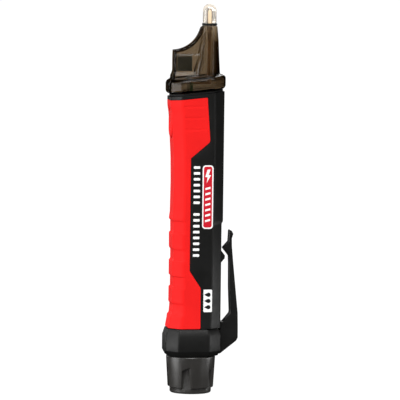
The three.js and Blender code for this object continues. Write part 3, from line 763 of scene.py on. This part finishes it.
def sensor_blade():
    """The sensing strip, in three pieces: a dark cut edge, a pale face, and the tail below."""
    def head(inset):
        wide, high = 1.2 - inset, 172.9 - inset
        return [(TIP_Y + wide, high - 1.2), (TIP_Y + wide * 0.7, high - 0.35), (TIP_Y, high),
                (TIP_Y - wide * 0.7, high - 0.35), (TIP_Y - wide, high - 1.2)]

    rim = head(0) + [(TIP_Y - 1.2, 163.0), (TIP_Y + 1.2, 163.0)]
    face = head(0.42) + [(TIP_Y - 0.78, 165.3), (TIP_Y + 0.78, 165.3)]
    tail = [(-1.1, 139.6), (TIP_Y + 0.8, 139.6), (TIP_Y + 0.8, 165.2), (TIP_Y - 0.8, 165.2),
            (TIP_Y - 0.8, 141.0), (-1.1, 141.0)]
    finish_piece(slab("blade_rim", rim, -0.32, 0.32), BLADE_EDGE, "housing", "copper_strip")
    finish_piece(slab("sensor_face", face, -0.4, 0.4), BLADE_FACE, "housing", "copper_strip")
    finish_piece(slab("sensor_tail", tail, -0.4, 0.4), BLADE_TAIL, "housing", "copper_strip",
                 "sensor_strip")


def holder_rim():
    """The bright rim of the torch's reflector, on the holder's top."""
    low, high, proud = foot_of("torch_holder"), top_of("torch_holder"), 0.05

    def outline(inset):
        return rectangle(low.x + inset, high.x - inset, low.y + inset, high.y - inset)

    top, side = high.z, outline(-proud)
    rim = loft("holder_rim", [(top - 0.7, side), (top - 0.45, side), (top + proud, outline(0.15))])
    cup = [(0, top - 2), (1.98, top - 2), (2.05, top + 1), (0, top + 1)]
    cut(rim, turned("cup", cup, 48, (high.y + low.y) / 2))
    finish_piece(shade(rim), STEEL, "housing", "spring_steel")


# ---- printing on the housing's side -------------------------------------------------------------

BASE_LIFT, FIELD_LIFT, MARK_LIFT = 0.03, 0.05, 0.07     # each layer of print above the face
PRINT_DEPTH = 0.08


def printed(name, outline, lift):
    """A thin printed shape that follows the +X side, from an outline of (y, z) points."""
    obj = slab(name, outline, 0, 1)
    heights = [z for _, z in outline]
    slice_up(obj, min(heights) + 0.4, max(heights) - 0.4, 0.8)
    return move_points(obj, lambda p: (side_x(p.z) + lift - PRINT_DEPTH * (1 - p.x), p.y, p.z))


def gathered(name, parts):
    """Joins several thin prints into one piece."""
    base = parts[0]
    bpy.context.view_layer.update()
    with bpy.context.temp_override(active_object=base, selected_editable_objects=parts,
                                   selected_objects=parts):
        bpy.ops.object.join()
    base.name = name
    return base


def bolt(y, z, size):
    """A lightning bolt that points down the tool."""
    points = [(-0.1, 1.0), (-0.42, -0.12), (-0.06, -0.12), (-0.2, -1.0), (0.44, 0.16),
              (0.08, 0.16), (0.36, 1.0)]
    return [(y + py * size, z + pz * size) for py, pz in points]


def drop(y, z, size):
    """A water drop whose point is towards the front."""
    angles = [math.radians(a) for a in range(-125, 126, 10)]
    round_side = [(y + size * (0.35 + math.cos(a)), z + size * math.sin(a)) for a in angles]
    return round_side + [(y - size * 1.75, z)]


def side_printing():
    """Generic marks where print would be: a red badge, a row of level bars and a drop plate."""
    badge = printed("badge_edge", rectangle(2.8, 7.7, 74.6, 103.1, 1.4), BASE_LIFT)
    field = printed("badge_field", rectangle(3.35, 7.15, 75.2, 102.5, 0.95), FIELD_LIFT)
    marks = [printed("mark", bolt(5.25, 98.2, 3.0), MARK_LIFT)]
    for i in range(7):
        low = 92.0 - i * 2.4
        slanted_bar = [(4.1, low), (6.4, low + 0.6), (6.4, low + 1.5), (4.1, low + 0.9)]
        marks.append(printed("mark", slanted_bar, MARK_LIFT))
    made = [(badge, PRINT_WHITE), (field, PRINT_RED), (gathered("badge_marks", marks), PRINT_WHITE)]
    bars = []
    for i in (*range(7), *range(8, 16)):
        high = 102.7 - i * 2.63
        bars.append(printed("bar", rectangle(-1.25, 1.65, high - 1.15, high, 0.35), BASE_LIFT))
    made.append((gathered("level_bars", bars), PRINT_WHITE))
    plate = printed("drop_plate", rectangle(3.8, 7.7, 37.2, 47.3, 0.45), BASE_LIFT)
    made.append((plate, PRINT_WHITE))
    drops = [printed("drop", drop(5.75, z, 0.95), FIELD_LIFT) for z in (39.4, 42.2, 45.0)]
    made.append((gathered("drop_marks", drops), PRINT_BLACK))
    for piece, ink in made:
        slot = "white_plastic" if ink is PRINT_WHITE else "black_plastic"
        finish_piece(piece, ink, "housing", slot)


# ---- putting it together ------------------------------------------------------------------------

finish_piece(grip_skin(), RED, "housing", "red_rubber", "grip_overmould")
finish_piece(housing_shell(), BLACK, "housing", "black_plastic", "main_housing")
finish_piece(thumb_key(), RED, "thumb_key", "red_rubber", "power_button")
finish_piece(cap_shell(), GREY, "cap", "grey_plastic", "battery_cap")
finish_piece(nose_shell(), SMOKE, "housing", "smoked_plastic", "nose_housing")
finish_piece(tip_lens(), MILKY, "housing", "milky_plastic", "tip_dome")
finish_piece(seal_ring(), SEAL, "housing", "black_seal", "tip_seal_ring")
sensor_blade()
holder_rim()
side_printing()

clip = shade(slice_up(clip_moulding(), 30.0, 72.0, 1.5))
finish_piece(clip, BLACK, None, "black_plastic", "clip_collar", "clip_arm")
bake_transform(clip)

FINISHES = {
    "nose_gasket": SEAL, "torch_holder": DARK_BLOCK, "torch_led": LAMP, "warning_led": LAMP,
    "circuit_board": BOARD, "controller_chip": CHIP, "tactile_switch": CHIP,
    "switch_plunger": WHITE, "buzzer": CHIP, "positive_contact": STEEL, "battery_tube": WHITE,
    "battery_lower": WRAP, "battery_upper": WRAP, "negative_strip": STEEL, "contact_cup": STEEL,
    "battery_spring": STEEL, "cap_o_ring": SEAL,
}
for name, surface in FINISHES.items():
    node = nodes[name]
    node.data.materials.clear()
    node.data.materials.append(surface)
    edges = node.modifiers.new("edges", "BEVEL")
    edges.width = 0.08 * MM
    edges.segments = 2
    edges.limit_method = "ANGLE"
    edges.angle_limit = math.radians(40)


# ---- floor, light and camera --------------------------------------------------------------------

def outward(azimuth, elevation):
    """A direction out from the tool, with azimuth 0 towards -Y and 90 degrees towards +X."""
    a, e = math.radians(azimuth), math.radians(elevation)
    return Vector((math.sin(a) * math.cos(e), -math.cos(a) * math.cos(e), math.sin(e)))


def stage_floor():
    """A pale lit floor, as bright as the studio's backdrop, that the plastics don't mirror."""
    half = 9e3
    corners = [(x, y, 0) for x, y in rectangle(-half, half, -half, half)]
    floor = build("floor", corners, [(0, 1, 2, 3)])
    made, _, _ = material("pale_floor", (0.1, 0.1, 0.1), 1.0, Specular_IOR_Level=0.0,
                          Emission_Color=(1, 1, 1, 1), Emission_Strength=0.93)
    floor.data.materials.append(made)
    floor.visible_diffuse = False
    floor.visible_glossy = False


def softbox(name, azimuth, elevation, distance, width, height, power, aim=0.09):
    """A rectangular soft light, in metres and watts, that faces the axis at height `aim`."""
    back = outward(azimuth, elevation)
    light = bpy.data.lights.new(name, "AREA")
    light.shape = "RECTANGLE"
    light.size, light.size_y = width, height
    light.energy = power
    obj = bpy.data.objects.new(name, light)
    obj.location = Vector((0, 0, aim)) + back * distance
    obj.rotation_mode = "QUATERNION"
    obj.rotation_quaternion = (-back).to_track_quat("-Z", "Y")
    obj.visible_camera = False
    bpy.context.scene.collection.objects.link(obj)


def lights():
    softbox("left_softbox", 10, 10, 1.0, 0.4, 0.9, 5)
    softbox("front_softbox", 84, 40, 1.3, 0.8, 0.6, 7.5)
    softbox("corner_strip", 42, 10, 1.0, 0.06, 0.8, 0.8)
    softbox("right_softbox", 143, 8, 0.8, 0.2, 0.6, 0.55)
    softbox("right_kicker", 172, 5, 0.13, 0.05, 0.04, 0.03, 0.012)
    softbox("left_rim", -62, 12, 0.9, 0.15, 0.7, 0.6)
    softbox("cap_kicker", -5, 0, 0.15, 0.02, 0.02, 0.02, 0.012)
    softbox("back_softbox", 245, 35, 1.2, 0.8, 0.8, 5)
    sun = bpy.data.lights.new("overhead", "SUN")
    sun.energy = 1.2
    sun.angle = math.radians(60)
    obj = bpy.data.objects.new("overhead", sun)
    obj.rotation_euler = (math.radians(10), math.radians(12), 0)
    bpy.context.scene.collection.objects.link(obj)
    world = bpy.data.worlds.new("studio")
    world.use_nodes = True
    background = world.node_tree.nodes["Background"]
    background.inputs["Color"].default_value = (1, 1, 1, 1)
    background.inputs["Strength"].default_value = 0.58
    world.cycles_visibility.glossy = False
    bpy.context.scene.world = world


def camera():
    """A long lens to the side, a little to the front and above, as in a catalogue picture."""
    azimuth, elevation, roll = 80, 5, 0.7
    distance, seen, sensor = 2.0, 0.1795, 36
    aim_side, aim_height = 3.4 * MM, 86.75 * MM
    back = outward(azimuth, elevation)
    right = outward(azimuth + 90, 0)
    lens = bpy.data.cameras.new("camera")
    lens.sensor_width = sensor
    lens.lens = sensor * distance / seen
    obj = bpy.data.objects.new("camera", lens)
    obj.location = right * aim_side + Vector((0, 0, aim_height)) + back * distance
    obj.rotation_mode = "QUATERNION"
    straight = (-back).to_track_quat("-Z", "Y").to_matrix()
    tilt = Matrix.Rotation(math.radians(roll), 3, "Z")
    obj.rotation_quaternion = (straight @ tilt).to_quaternion()
    bpy.context.scene.collection.objects.link(obj)
    bpy.context.scene.camera = obj


stage_floor()
lights()
camera()
bpy.context.scene.view_settings.view_transform = "Standard"
